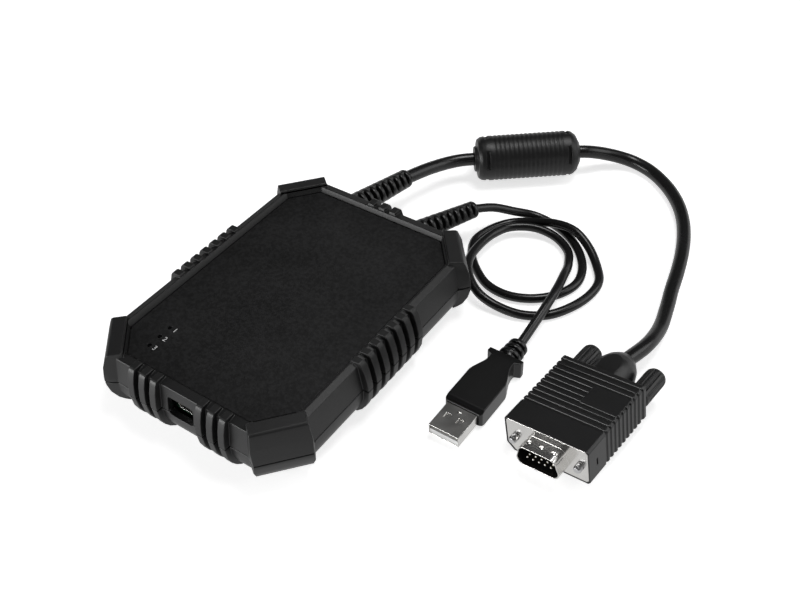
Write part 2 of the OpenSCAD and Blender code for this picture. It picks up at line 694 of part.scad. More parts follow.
module video_boot() {
    color([0.09, 0.09, 0.09]) boot(-video_x, video_boot_d, video_d, video_boot_end);
}
module keyboard_boot() {
    color([0.09, 0.09, 0.09]) boot(keyboard_x, keyboard_boot_d, keyboard_d, keyboard_boot_end);
}
module video_cord() {
    color([0.1, 0.1, 0.1]) tube(video_route, video_d, 8);
}
module keyboard_cord() {
    color([0.1, 0.1, 0.1]) tube(keyboard_route, keyboard_d, 8);
}

// The sleeve on the video cord: a moulded cover with grooves and four windows, and a ferrite inside
sleeve_l = norm(sleeve_to - sleeve_from);
sleeve_bore = video_d + seat_gap;
ferrite_bore = video_d / cos(180 / 8) + seat_gap;
sleeve_groove = 0.22;
function sleeve_outline() = let(
        r = sleeve_d / 2,
        low = sleeve_l * 0.17,
        pitch = sleeve_l * 0.68 / sleeve_grooves)
    concat([[0, 0], [r * 0.56, 0], [r * 0.58, sleeve_l * 0.025], [r * 0.86, sleeve_l * 0.03],
            [r * 0.96, sleeve_l * 0.06], [r, sleeve_l * 0.11]],
        [for (i = [0:sleeve_grooves - 1]) each [[r, low + i * pitch],
            [r - sleeve_groove, low + (i + 0.25) * pitch],
            [r - sleeve_groove, low + (i + 0.4) * pitch], [r, low + (i + 0.65) * pitch]]],
        [[r, sleeve_l * 0.9], [r * 0.95, sleeve_l * 0.93], [r * 0.82, sleeve_l * 0.965],
            [r * 0.58, sleeve_l * 0.99], [r * 0.5, sleeve_l], [0, sleeve_l]]);
module on_sleeve() {
    translate(sleeve_from) rotate(lean(sleeve_from, sleeve_to)) children();
}
module sleeve_cover() {
    window_w = sleeve_l * 0.032;
    window_l = sleeve_d * 0.4;
    window_deep = (sleeve_d - ferrite_d) / 3;
    color([0.09, 0.09, 0.09]) on_sleeve() difference() {
        rotate_extrude($fn = 64) polygon(sleeve_outline());
        translate([0, 0, -over]) cylinder(d = sleeve_bore, h = sleeve_l + 2 * over);
        translate([0, 0, (sleeve_l - ferrite_l) / 2]) cylinder(d = ferrite_d + seat_gap, h = ferrite_l);
        for (z = [sleeve_l * 0.115, sleeve_l * 0.885], a = [-28, 62, 152, 242]) rotate([0, 0, a])
            translate([sleeve_d / 2 - window_deep, -window_l / 2, z - window_w / 2])
                cube([window_deep + over, window_l, window_w]);
    }
}
module sleeve_ferrite() {
    color([0.2, 0.2, 0.21]) on_sleeve() translate([0, 0, (sleeve_l - ferrite_l) / 2 + seat_gap]) difference() {
        cylinder(d = ferrite_d, h = ferrite_l - 2 * seat_gap);
        translate([0, 0, -over]) cylinder(d = ferrite_bore, h = ferrite_l + 2 * over);
    }
}

// The video plug is modelled lying square, its face at y = 0, then set at the cord's end
plug_axis = hood_h / 2;
jack_z = plug_axis - hood_h * 0.05;
module on_video_plug() {
    translate(last(video_route)) rotate([0, 0, plug_yaw]) rotate([0, -plug_roll, 0])
        translate([0, -hood_l - hood_boot_l, -plug_axis]) children();
}
hood_ribs = 9;
hood_rib_from = 11.2;
hood_rib_pitch = 2.5;
hood_rib_w = 1.1;
hood_rib_rise = 0.35;
hood_edge = 0.8;
flange_edge = 0.45;
flange_drop = 0.15;
flange_sheet = 0.8;
flange_back = flange_drop + flange_sheet;
jack_tip = 2.2;
thread_end = jack_tip + flange_drop - turn_gap;
module hood_section(inset) {
    w = hood_w / 2 - inset;
    e = hood_edge;
    polygon([[hood_cut - w, inset], [w - e, inset], [w, inset + e], [w, hood_h - inset - e],
        [w - e, hood_h - inset], [e - w, hood_h - inset], [-w, hood_h - inset - e], [-w, hood_cut + inset]]);
}
module jack_holes(d, from, length) {
    for (s = [-1, 1]) translate([s * jack_pitch / 2, from, jack_z]) rotate([-90, 0, 0])
        cylinder(d = d, h = length);
}
module video_hood() {
    window_x = hood_w * 0.045;
    window_y = hood_l * 0.515;
    window_w = hood_w * 0.43;
    window_l = hood_l * 0.26;
    slit = hood_edge * 0.9;
    color([0.08, 0.08, 0.08]) on_video_plug() difference() {
        union() {
            translate([0, hood_l, 0]) rotate([90, 0, 0]) linear_extrude(hood_l) hood_section(hood_rib_rise);
            translate([0, hood_rib_from - hood_rib_pitch / 2, 0]) rotate([90, 0, 0])
                linear_extrude(hood_rib_from - hood_rib_pitch / 2) hood_section(0);
            for (i = [0:hood_ribs - 1])
                translate([0, hood_rib_from + i * hood_rib_pitch + hood_rib_w, 0]) rotate([90, 0, 0])
                    linear_extrude(hood_rib_w) hood_section(0);
            translate([0, hood_l, 0]) rotate([90, 0, 0]) linear_extrude(hood_rib_w * 1.5) hood_section(0);
            translate([window_x, window_y, hood_h - hood_edge]) cube([window_w, window_l, hood_edge]);
        }
        translate([0, flange_back, 0]) rotate([90, 0, 0]) linear_extrude(flange_back + over)
            hood_section(flange_edge);
        translate([0, flange_back + insulator_back, 0]) rotate([90, 0, 0]) linear_extrude(insulator_back + over)
            dsub_section(dsub_w, dsub_h);
        jack_holes(jack_shank_d + 2 * run_gap, -over, hood_l + 2 * over);
        translate([hood_w / 2 - slit, hood_l * 0.125, hood_h * 0.36]) cube([slit + over, slit, hood_h * 0.2]);
    }
}
module video_hood_boot() {
    small = hood_boot_w * 0.42;
    color([0.08, 0.08, 0.08]) on_video_plug() translate([0, hood_l, plug_axis]) {
        rotate([-90, 0, 0]) intersection() {
            rotate_extrude() polygon([[0, 0], [hood_boot_w / 2, 0], [hood_boot_w / 2, hood_boot_l * 0.35],
                [hood_boot_w * 0.47, hood_boot_l * 0.55], [hood_boot_w * 0.4, hood_boot_l * 0.75],
                [hood_boot_w * 0.29, hood_boot_l * 0.92], [small / 2, hood_boot_l], [0, hood_boot_l]]);
            translate([-hood_boot_w, -hood_h * 0.47, 0]) cube([2 * hood_boot_w, hood_h * 0.94, hood_boot_l]);
        }
    }
}

// The connector: wide side down, a D-shaped shell on a flat flange
dsub_slope = 10;
dsub_r = 2.6;
insulator_back = 4;
module dsub_section(w, h) {
    narrow = w / 2 - h * tan(dsub_slope);
    r = min(dsub_r, h / 3);
    shoulder = r * tan(dsub_slope);
    translate([0, jack_z]) {
        for (s = [-1, 1]) {
            translate([s * (w / 2 - r - shoulder / 2), r - h / 2]) circle(r);
            translate([s * (narrow - r + shoulder), h / 2 - r]) circle(r);
        }
        polygon([[r - w / 2, -h / 2], [w / 2 - r, -h / 2], [w / 2 - shoulder / 2, r - h / 2],
            [narrow + shoulder, h / 2 - r], [narrow - r + shoulder, h / 2], [r - narrow - shoulder, h / 2],
            [-narrow - shoulder, h / 2 - r], [shoulder / 2 - w / 2, r - h / 2]]);
    }
}
dsub_sheet = 0.4;
module video_flange() {
    color([0.8, 0.8, 0.82]) on_video_plug() {
        difference() {
            union() {
                translate([0, flange_back, 0]) rotate([90, 0, 0]) linear_extrude(flange_sheet)
                    hood_section(flange_edge + seat_gap);
                translate([0, flange_back, 0]) rotate([90, 0, 0]) linear_extrude(dsub_l + flange_sheet)
                    dsub_section(dsub_w, dsub_h);
            }
            translate([0, flange_back + over, 0]) rotate([90, 0, 0])
                linear_extrude(dsub_l + flange_sheet + 2 * over)
                    dsub_section(dsub_w - 2 * dsub_sheet, dsub_h - 2 * dsub_sheet);
            jack_holes(jack_shank_d + 2 * seat_gap, -over, flange_back + 2 * over);
        }
    }
}
pin_pitch = 2.29;
pin_row = 1.98;
pin_d = 0.78;
pin_reach = 4;
module video_insulator() {
    color([0.12, 0.12, 0.13]) on_video_plug() translate([0, insulator_back + flange_back - seat_gap, 0])
        rotate([90, 0, 0]) difference() {
            linear_extrude(insulator_back + flange_sheet - 2 * seat_gap)
                dsub_section(dsub_w - 2 * dsub_sheet - seat_gap, dsub_h - 2 * dsub_sheet - seat_gap);
            at_pins() translate([0, 0, -over])
                cylinder(d = pin_d + seat_gap, h = insulator_back + flange_sheet + 2 * over, $fn = 16);
        }
}
module at_pins() {
    for (row = [-1:1], i = [-2:2]) {
        shift = row == 0 ? pin_pitch / 4 : -pin_pitch / 4;
        translate([i * pin_pitch + shift, jack_z + row * pin_row, 0]) children();
    }
}
module video_pins() {
    back = insulator_back;
    color([0.86, 0.72, 0.4]) on_video_plug() translate([0, back, 0]) rotate([90, 0, 0]) at_pins() {
        cylinder(d = pin_d, h = back + pin_reach - pin_d / 2, $fn = 16);
        translate([0, 0, back + pin_reach - pin_d / 2]) sphere(d = pin_d, $fn = 16);
    }
}

// A thumb-screw: a steel shaft that runs through the hood, and a knurled knob behind it
module jack_screw(s) {
    color([0.75, 0.75, 0.77]) on_video_plug() translate([s * jack_pitch / 2, -jack_tip, jack_z])
        rotate([-90, 0, 0]) union() {
            cylinder(d1 = jack_d * 0.75, d2 = jack_d, h = jack_d / 4);
            translate([0, 0, jack_d / 4]) cylinder(d = jack_d, h = thread_end - jack_d / 4);
            translate([0, 0, thread_end])
                cylinder(d = jack_shank_d, h = jack_tip + hood_l + knob_l / 2 - thread_end);
        }
}
module jack_knob(s) {
    flutes = 12;
    flute_d = knob_d * 0.09;
    color([0.08, 0.08, 0.08]) on_video_plug() translate([s * jack_pitch / 2, hood_l + turn_gap, jack_z])
        rotate([-90, 0, 0]) difference() {
            rotate_extrude() polygon([[0, 0], [knob_d * 0.42, 0], [knob_d / 2, knob_d * 0.08],
                [knob_d / 2, knob_l * 0.8], [knob_d * 0.48, knob_l * 0.89], [knob_d * 0.42, knob_l * 0.955],
                [knob_d * 0.28, knob_l], [0, knob_l]]);
            translate([0, 0, -over]) cylinder(d = jack_shank_d + seat_gap, h = knob_l / 2 + over);
            for (a = [0:flutes - 1]) rotate([0, 0, a * 360 / flutes])
                translate([knob_d / 2, 0, knob_l * 0.12]) cylinder(d = flute_d, h = knob_l, $fn = 16);
        }
}
module left_jack_screw() {
    jack_screw(-1);
}
module left_jack_knob() {
    jack_knob(-1);
}
module right_jack_screw() {
    jack_screw(1);
}
module right_jack_knob() {
    jack_knob(1);
}

// The keyboard plug lies along Y with its tip at -Y; y = 0 is the front of its grip
module on_keyboard_plug() {
    end = last(keyboard_route);
    translate([end[0], end[1] - relief_l - grip_l, end[2] - grip_h / 2]) children();
}
// Half width of the grip along its length, as shares of half the width and of the length
grip_shares = [[0.9, 0], [1, 0.03], [1, 0.545], [0.94, 0.6], [0.68, 0.76], [0.62, 0.84], [0.63, 0.9],
    [0.93, 0.93], [0.93, 1]];
// Height of the grip along its length, as shares of half the height and of the length
grip_high_shares = [[0.72, 0], [1, 0.075], [1, 0.9], [0.88, 1]];
function grip_half(shares, across) = [for (s = shares) [s[0] * across / 2, s[1] * grip_l]];
module keyboard_grip() {
    inside = flat_l * 0.5;
    color([0.08, 0.08, 0.08]) on_keyboard_plug() difference() {
        intersection() {
            linear_extrude(grip_h) polygon(both_sides(grip_half(grip_shares, grip_w)));
            translate([-grip_w / 2, 0, grip_h / 2]) rotate([90, 0, 90]) linear_extrude(grip_w)
                polygon(swapped(both_sides(grip_half(grip_high_shares, grip_h))));
        }
        translate([-flat_w / 2 - seat_gap / 2, -over, grip_h / 2 - flat_h / 2 - seat_gap / 2])
            cube([flat_w + seat_gap, inside + over, flat_h + seat_gap]);
    }
}
relief_ribs = 3;
module keyboard_relief() {
    r = keyboard_d * 1.2;
    pitch = relief_l / (relief_ribs + 0.4);
    outline = concat([[0, 0], [r * 0.8, 0], [r * 0.8, pitch * 0.4]],
        [for (i = [0:relief_ribs - 1]) let(rr = r * (1 - 0.06 * i), z = pitch * (0.4 + i))
            each [[rr, z + pitch * 0.05], [rr, z + pitch * 0.55], [rr * 0.72, z + pitch * 0.65],
                [rr * 0.72, z + pitch * 0.95]]],
        [[r * 0.5, relief_l], [0, relief_l]]);
    color([0.08, 0.08, 0.08]) on_keyboard_plug() translate([0, grip_l, grip_h / 2]) rotate([-90, 0, 0])
        rotate_extrude() polygon(outline);
}
module keyboard_shell() {
    inside = flat_l * 0.5;
    window = flat_w * 0.19;
    color([0.8, 0.8, 0.82]) on_keyboard_plug() difference() {
        translate([-flat_w / 2, -flat_l, grip_h / 2 - flat_h / 2]) cube([flat_w, flat_l + inside, flat_h]);
        translate([flat_t - flat_w / 2, -flat_l - over, grip_h / 2 - flat_h / 2 + flat_t])
            cube([flat_w - 2 * flat_t, flat_l + inside + 2 * over, flat_h - 2 * flat_t]);
        for (s = [-1, 1]) translate([s * flat_w * 0.21 - window / 2, -flat_l * 0.55, grip_h / 2 - flat_h])
            cube([window, window, 2 * flat_h]);
    }
}
tongue_h = 1.9;
tongue_w = flat_w - 2 * flat_t - seat_gap;
tongue_z = grip_h / 2 - flat_h / 2 + flat_t + seat_gap / 2;
contact_size = [1, 8, 0.25];
module keyboard_tongue() {
    inside = flat_l * 0.5;
    color([0.85, 0.85, 0.84]) on_keyboard_plug() {
        translate([-tongue_w / 2, turn_gap - flat_l, tongue_z])
            cube([tongue_w, flat_l + inside - turn_gap - seat_gap, tongue_h]);
        translate([-tongue_w / 2, 0, tongue_z])
            cube([tongue_w, inside - seat_gap, flat_h - 2 * flat_t - seat_gap]);
    }
}
module keyboard_contacts() {
    color([0.88, 0.72, 0.38]) on_keyboard_plug() for (x = [-0.29, -0.083, 0.083, 0.29])
        translate([x * flat_w - contact_size[0] / 2, -contact_size[1] - 2 * turn_gap, tongue_z + tongue_h])
            cube(contact_size);
}

lower_case();
upper_case();
top_plate();
light_pipes();
case_screws();
circuit_board();
capture_chip();
memory_chips();
bridge_chip();
crystal_can();
capacitors();
coils();
status_lamps();
mini_socket_shell();
mini_socket_core();
mini_socket_contacts();
video_header();
keyboard_header();
video_lead_end();
keyboard_lead_end();
video_wires();
keyboard_wires();
video_boot();
keyboard_boot();
video_cord();
sleeve_cover();
sleeve_ferrite();
video_hood();
video_hood_boot();
video_flange();
video_insulator();
video_pins();
left_jack_screw();
left_jack_knob();
right_jack_screw();
right_jack_knob();
keyboard_cord();
keyboard_grip();
keyboard_relief();
keyboard_shell();
keyboard_tongue();
keyboard_contacts();
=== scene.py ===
"""Crash cart adapter: an eight-sided box with corner guards, a video lead and a keyboard lead."""
import math

import bmesh
import bpy
from mathutils import Matrix, Vector


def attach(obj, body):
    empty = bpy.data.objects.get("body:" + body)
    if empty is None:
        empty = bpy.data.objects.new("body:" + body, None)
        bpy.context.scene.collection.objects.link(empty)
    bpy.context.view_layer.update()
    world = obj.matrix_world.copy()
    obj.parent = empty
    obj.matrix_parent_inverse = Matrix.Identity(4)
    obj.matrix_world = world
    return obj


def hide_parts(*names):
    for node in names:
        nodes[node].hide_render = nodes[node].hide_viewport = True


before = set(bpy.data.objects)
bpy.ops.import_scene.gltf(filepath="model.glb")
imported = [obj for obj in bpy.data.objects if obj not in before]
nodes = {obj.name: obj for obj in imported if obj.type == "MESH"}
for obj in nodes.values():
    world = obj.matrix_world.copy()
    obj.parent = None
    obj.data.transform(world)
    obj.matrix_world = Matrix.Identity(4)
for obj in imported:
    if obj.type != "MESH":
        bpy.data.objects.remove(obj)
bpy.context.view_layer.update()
scene = bpy.context.scene
MM = 0.001
BODY = "adapter"

# Cords: the same route points as the solids', in millimetres
VIDEO_DIAMETER = 5.6
VIDEO_ROUTE = [
    (-13.2, 92, 12.7), (-10.4, 101.7, 11.8), (-7.6, 110.5, 10.4), (-3.6, 117.3, 9.8),
    (1.5, 122.1, 9.7), (9.9, 128.8, 9.7), (17.4, 134.8, 9.7), (24.9, 140.8, 9.7),
    (32.4, 146.8, 9.7), (39.9, 152.8, 9.7), (47.5, 160.5, 6.4), (56.5, 165, 3.6),
    (66.5, 163.5, 2.8), (76.5, 157.5, 2.8), (85, 149.5, 2.8), (91.5, 140.5, 2.8),
    (96.5, 130.5, 2.8), (100.5, 119.5, 2.8), (103.5, 108.5, 2.8), (106, 97.5, 2.8),
    (109, 86, 3.2), (111.6, 74, 4.7), (112.3, 61, 7.6), (110.1, 48.6, 9.2)]
KEYBOARD_DIAMETER = 3.6
KEYBOARD_ROUTE = [
    (22.1, 89.3, 12.6), (26.5, 97, 10), (32, 104.2, 5.6), (39.5, 109.5, 2.8), (49, 109.4, 1.8),
    (58, 105.5, 1.8), (65.8, 99, 1.8), (71.4, 90.6, 1.8), (73.2, 81.5, 1.8), (69.9, 72.5, 1.8),
    (63, 65.5, 1.8), (54, 62, 1.8), (44.5, 63, 1.8), (36, 68.5, 1.8), (29.5, 75.5, 1.8),
    (26, 84, 1.8), (28, 93.5, 1.8), (33, 101.5, 1.8), (41.5, 105.2, 3.2), (50.8, 106.4, 5.6),
    (59.5, 106, 5.9), (67.6, 102.6, 3.8), (74.8, 96.2, 1.8), (80, 88, 1.8), (80.5, 78.5, 1.8),
    (77.6, 68.8, 1.8), (72.3, 60.6, 1.8), (64.2, 55.6, 1.8), (54.5, 53.9, 2.6), (45.5, 54.7, 4.4),
    (37.7, 60.1, 5.8), (33, 68, 6.1), (31.5, 77.5, 5.6), (32, 87.5, 4.8), (35.5, 96, 4.2),
    (43.5, 101.3, 3.8), (52.6, 102.2, 2.6), (61, 97.8, 1.9), (65.8, 89.3, 2.8), (68.5, 80, 5.2),
    (70.5, 70.5, 6.3), (71.5, 61, 6.1), (72, 51, 4.9), (72.5, 40, 3.8)]


# ---------------------------------------------------------------- help with node trees
def calculation(tree, operation, *terms):
    """The result of a sum on other nodes' outputs or fixed numbers."""
    node = tree.nodes.new("ShaderNodeMath")
    node.operation = operation
    for socket, term in zip(node.inputs, terms):
        if isinstance(term, bpy.types.NodeSocket):
            tree.links.new(term, socket)
        else:
            socket.default_value = term
    return node.outputs[0]


def remap(tree, value, given, wanted, interpolation="LINEAR"):
    """A value moved from its given range to the wanted one, and held within it."""
    node = tree.nodes.new("ShaderNodeMapRange")
    node.interpolation_type = interpolation
    for label, number in zip(("From Min", "From Max", "To Min", "To Max"), given + wanted):
        node.inputs[label].default_value = number
    tree.links.new(value, node.inputs["Value"])
    return node.outputs[0]


def shader_mix(tree, share, first, second):
    node = tree.nodes.new("ShaderNodeMixShader")
    for socket, source in zip(node.inputs, (share, first, second)):
        tree.links.new(source, socket)
    return node.outputs[0]


# ---------------------------------------------------------------- camera and light
# The photograph's camera, worked out from the plate's corners: millimetres and degrees
TARGET = (19.55, 38.84, 0.0)
DISTANCE = 409.93
AZIMUTH = 36.605
ELEVATION = 43.029
ROLL = -2.588
FOCAL_PIXELS = 1053.4
FRAME_PIXELS = 800
SENSOR = 36

# Soft lamps: place, aim and size in metres, power in watts
SOFT_LAMPS = (
    ("top_lamp", (0.12, 0.3, 0.9), (0.05, 0.05, 0), (0.35, 0.35), 3.0),
    ("right_lamp", (0.8, 0.6, 0.6), (0.08, 0.0, 0), (0.8, 0.7), 3.0),
    ("front_left_lamp", (-0.5, -0.9, 0.2), (0.0, 0.0, 0), (0.9, 0.3), 11.0))
# The room's walls are bright up to the horizon, and its ceiling is dim from this steepness on
CEILING_FROM = 0.3
WALL_LIGHT = 1.0
CEILING_LIGHT = 0.06
# The floor's glow, from near the object to far from it, in metres
FLOOR_HALF = 3
GLOW_REACH = (0.35, 0.8)
GLOW_STRENGTH = (0.69, 1.0)


def make_camera():
    a, e, roll = (math.radians(v) for v in (AZIMUTH, ELEVATION, ROLL))
    back = Vector((math.sin(a) * math.cos(e), -math.cos(a) * math.cos(e), math.sin(e)))
    right = Vector((math.cos(a), math.sin(a), 0))
    up = back.cross(right)
    turned_right = math.cos(roll) * right + math.sin(roll) * up
    turned_up = -math.sin(roll) * right + math.cos(roll) * up
    data = bpy.data.cameras.new("camera")
    data.sensor_width = SENSOR
    data.lens = FOCAL_PIXELS / FRAME_PIXELS * SENSOR
    data.clip_start = 0.01
    camera = bpy.data.objects.new("camera", data)
    scene.collection.objects.link(camera)
    place = Matrix((turned_right, turned_up, back)).transposed().to_4x4()
    place.translation = (Vector(TARGET) + DISTANCE * back) * MM
    camera.matrix_world = place
    scene.camera = camera


def make_soft_lamp(name, place, aim, size, power):
    data = bpy.data.lights.new(name, "AREA")
    data.shape = "RECTANGLE"
    data.size, data.size_y = size
    data.energy = power
    lamp = bpy.data.objects.new(name, data)
    scene.collection.objects.link(lamp)
    lamp.location = place
    lamp.rotation_euler = (Vector(aim) - Vector(place)).to_track_quat("-Z", "Y").to_euler()


def make_light():
    """Soft lamps in a room that shows white, with a dim ceiling for all but the camera."""
    for lamp in SOFT_LAMPS:
        make_soft_lamp(*lamp)
    world = bpy.data.worlds.new("studio")
    scene.world = world
    world.use_nodes = True
    tree = world.node_tree
    background = tree.nodes["Background"]
    background.inputs["Color"].default_value = (1, 1, 1, 1)
    direction = tree.nodes.new("ShaderNodeTexCoord").outputs["Generated"]
    height = tree.nodes.new("ShaderNodeSeparateXYZ")
    tree.links.new(direction, height.inputs[0])
    room = remap(tree, height.outputs["Z"], (0.0, CEILING_FROM), (WALL_LIGHT, CEILING_LIGHT),
                 "SMOOTHSTEP")
    path = tree.nodes.new("ShaderNodeLightPath")
    seen = calculation(tree, "MAXIMUM", path.outputs["Is Camera Ray"], room)
    tree.links.new(seen, background.inputs["Strength"])


def make_floor():
    """A pale floor: the camera sees it lit and glowing, and gloss mirrors its glow alone."""
    bm = bmesh.new()
    bmesh.ops.create_grid(bm, x_segments=1, y_segments=1, size=FLOOR_HALF)
    mesh = bpy.data.meshes.new("floor")
    bm.to_mesh(mesh)
    bm.free()
    floor = bpy.data.objects.new("floor", mesh)
    scene.collection.objects.link(floor)
    material = bpy.data.materials.new("pale_floor")
    material.use_nodes = True
    tree = material.node_tree
    shader = tree.nodes["Principled BSDF"]
    shader.inputs["Base Color"].default_value = (0.9, 0.9, 0.9, 1)
    shader.inputs["Roughness"].default_value = 0.6
    shader.inputs["Specular IOR Level"].default_value = 0.1
    distance = tree.nodes.new("ShaderNodeVectorMath")
    distance.operation = "LENGTH"
    tree.links.new(tree.nodes.new("ShaderNodeTexCoord").outputs["Object"], distance.inputs[0])
    glow = tree.nodes.new("ShaderNodeEmission")
    tree.links.new(remap(tree, distance.outputs["Value"], GLOW_REACH, GLOW_STRENGTH),
                   glow.inputs["Strength"])
    lit = tree.nodes.new("ShaderNodeAddShader")
    tree.links.new(shader.outputs[0], lit.inputs[0])
    tree.links.new(glow.outputs[0], lit.inputs[1])
    path = tree.nodes.new("ShaderNodeLightPath")
    mirrored = shader_mix(tree, path.outputs["Is Glossy Ray"], shader.outputs[0], glow.outputs[0])
    seen = shader_mix(tree, path.outputs["Is Camera Ray"], mirrored, lit.outputs[0])
    tree.links.new(seen, tree.nodes["Material Output"].inputs["Surface"])
    mesh.materials.append(material)


# ---------------------------------------------------------------- finishes
# Sizes of the noise patterns, in repeats a metre
CLOUD_SCALE = 45.0
DUST_SCALE = 420
SMUDGE_SCALE = 140.0
# How far a moulded and a plated surface's gloss spreads, and how deep their textures are, in metres
MOULDED_GLOSS_SPREAD = 0.12
PLATED_GLOSS_SPREAD = 0.16
GRAIN_HEIGHT = 0.00008
LINE_HEIGHT = 0.00004


def group_tree(name, inputs):
    """A shader node group that puts out a colour, a roughness and a normal."""
    tree = bpy.data.node_groups.new(name, "ShaderNodeTree")
    for label, kind, value in inputs:
        entry = tree.interface.new_socket(name=label, in_out="INPUT", socket_type=kind)
        entry.default_value = value
    for label, kind in (("Colour", "NodeSocketColor"), ("Roughness", "NodeSocketFloat"),
                        ("Normal", "NodeSocketVector")):
        tree.interface.new_socket(name=label, in_out="OUTPUT", socket_type=kind)
    return tree, tree.nodes.new("NodeGroupInput"), tree.nodes.new("NodeGroupOutput")


def noise(tree, scale, detail, coordinates, roughness=0.5):
    node = tree.nodes.new("ShaderNodeTexNoise")
    node.inputs["Detail"].default_value = detail
    node.inputs["Roughness"].default_value = roughness
    tree.links.new(coordinates, node.inputs["Vector"])
    if isinstance(scale, bpy.types.NodeSocket):
        tree.links.new(scale, node.inputs["Scale"])
    else:
        node.inputs["Scale"].default_value = scale
    return node.outputs["Fac"]


def roughened(tree, strength, distance, height):
    """A normal that a fine height pattern tilts."""
    bump = tree.nodes.new("ShaderNodeBump")
    bump.inputs["Distance"].default_value = distance
    tree.links.new(strength, bump.inputs["Strength"])
    tree.links.new(height, bump.inputs["Height"])
    return bump.outputs[0]


def make_moulded_group():
    """Moulded plastic: fine grain, a cloudy change of colour and gloss, and a little dust."""
    tree, start, end = group_tree("moulded_plastic", [
        ("Colour", "NodeSocketColor", (0.03, 0.03, 0.03, 1)),
        ("Worn Colour", "NodeSocketColor", (0.08, 0.08, 0.08, 1)),
        ("Roughness", "NodeSocketFloat", 0.4), ("Grain Scale", "NodeSocketFloat", 1500.0),
        ("Grain Depth", "NodeSocketFloat", 0.1), ("Clouding", "NodeSocketFloat", 0.1)])
    coordinates = tree.nodes.new("ShaderNodeTexCoord").outputs["Object"]
    clouds = noise(tree, CLOUD_SCALE, 4, coordinates)
    grain = noise(tree, start.outputs["Grain Scale"], 2, coordinates, 0.6)
    specks = tree.nodes.new("ShaderNodeTexVoronoi")
    specks.inputs["Scale"].default_value = DUST_SCALE
    tree.links.new(coordinates, specks.inputs["Vector"])
    dust = remap(tree, specks.outputs["Distance"], (0.1, 0.04), (0.0, 1.0))
    mottle = remap(tree, grain, (0.4, 0.6), (0.0, 0.8))
    marks = calculation(tree, "ADD", dust, mottle)
    marks = calculation(tree, "MULTIPLY", marks, start.outputs["Clouding"])
    wear = calculation(tree, "MULTIPLY_ADD", clouds, start.outputs["Clouding"], marks)
    mix = tree.nodes.new("ShaderNodeMix")
    mix.data_type = "RGBA"
    tree.links.new(wear, mix.inputs["Factor"])
    tones = [socket for socket in mix.inputs if socket.type == "RGBA"]
    for socket, label in zip(tones, ("Colour", "Worn Colour")):
        tree.links.new(start.outputs[label], socket)
    mixed = next(socket for socket in mix.outputs if socket.type == "RGBA")
    tree.links.new(mixed, end.inputs["Colour"])
    gloss = calculation(tree, "MULTIPLY_ADD", clouds, MOULDED_GLOSS_SPREAD,
                        start.outputs["Roughness"])
    tree.links.new(gloss, end.inputs["Roughness"])
    tree.links.new(roughened(tree, start.outputs["Grain Depth"], GRAIN_HEIGHT, grain),
                   end.inputs["Normal"])
    return tree


def make_plated_group():
    """Plated sheet: fine rolled lines, faint smudges in the gloss."""
    tree, start, end = group_tree("plated_metal", [
        ("Colour", "NodeSocketColor", (0.8, 0.8, 0.8, 1)), ("Roughness", "NodeSocketFloat", 0.2),
        ("Line Scale", "NodeSocketFloat", 2500.0), ("Line Depth", "NodeSocketFloat", 0.05)])
    coordinates = tree.nodes.new("ShaderNodeTexCoord").outputs["Object"]
    stretch = tree.nodes.new("ShaderNodeMapping")
    stretch.inputs["Scale"].default_value = (1, 0.06, 1)
    tree.links.new(coordinates, stretch.inputs["Vector"])
    lines = noise(tree, start.outputs["Line Scale"], 2, stretch.outputs[0])
    smudge = noise(tree, SMUDGE_SCALE, 3, coordinates)
    gloss = calculation(tree, "MULTIPLY_ADD", smudge, PLATED_GLOSS_SPREAD,
                        start.outputs["Roughness"])
    tree.links.new(gloss, end.inputs["Roughness"])
    tone = tree.nodes.new("ShaderNodeHueSaturation")
    tree.links.new(remap(tree, smudge, (0.0, 1.0), (0.85, 1.08)), tone.inputs["Value"])
    tree.links.new(start.outputs["Colour"], tone.inputs["Color"])
    tree.links.new(tone.outputs[0], end.inputs["Colour"])
    tree.links.new(roughened(tree, start.outputs["Line Depth"], LINE_HEIGHT, lines),
                   end.inputs["Normal"])
    return tree


MOULDED = make_moulded_group()
PLATED = make_plated_group()


def from_group(name, tree, values, shader_values):
    """A material whose group feeds colour, gloss and normal, with the rest on the shader itself."""
    material = bpy.data.materials.new(name)
    material.use_nodes = True
    network = material.node_tree
    shader = network.nodes["Principled BSDF"]
    group = network.nodes.new("ShaderNodeGroup")
    group.node_tree = tree
    for label, value in values.items():
        group.inputs[label].default_value = value
    for label, value in shader_values.items():
        shader.inputs[label].default_value = value
    for source, target in (("Colour", "Base Color"), ("Roughness", "Roughness"),
                           ("Normal", "Normal")):
        network.links.new(group.outputs[source], shader.inputs[target])
    return material


def plastic(name, tone, roughness, grain=1500.0, depth=0.12, clouding=0.12, specular=0.5,
            worn=None):
    """A moulded finish: tone is a grey's value or a whole colour."""
    colour = tone if isinstance(tone, tuple) else (tone, tone, tone * 1.03, 1)
    rubbed = worn or tuple(min(1, c * 1.8 + 0.008) for c in colour[:3]) + (1,)
    return from_group(
        name, MOULDED,
        {"Colour": colour, "Worn Colour": rubbed, "Roughness": roughness, "Grain Scale": grain,
         "Grain Depth": depth, "Clouding": clouding},
        {"Specular IOR Level": specular})


def metal(name, colour, roughness):
    return from_group(
        name, PLATED,
        {"Colour": colour, "Roughness": roughness, "Line Depth": 0.05, "Line Scale": 2500.0},
        {"Metallic": 1.0})


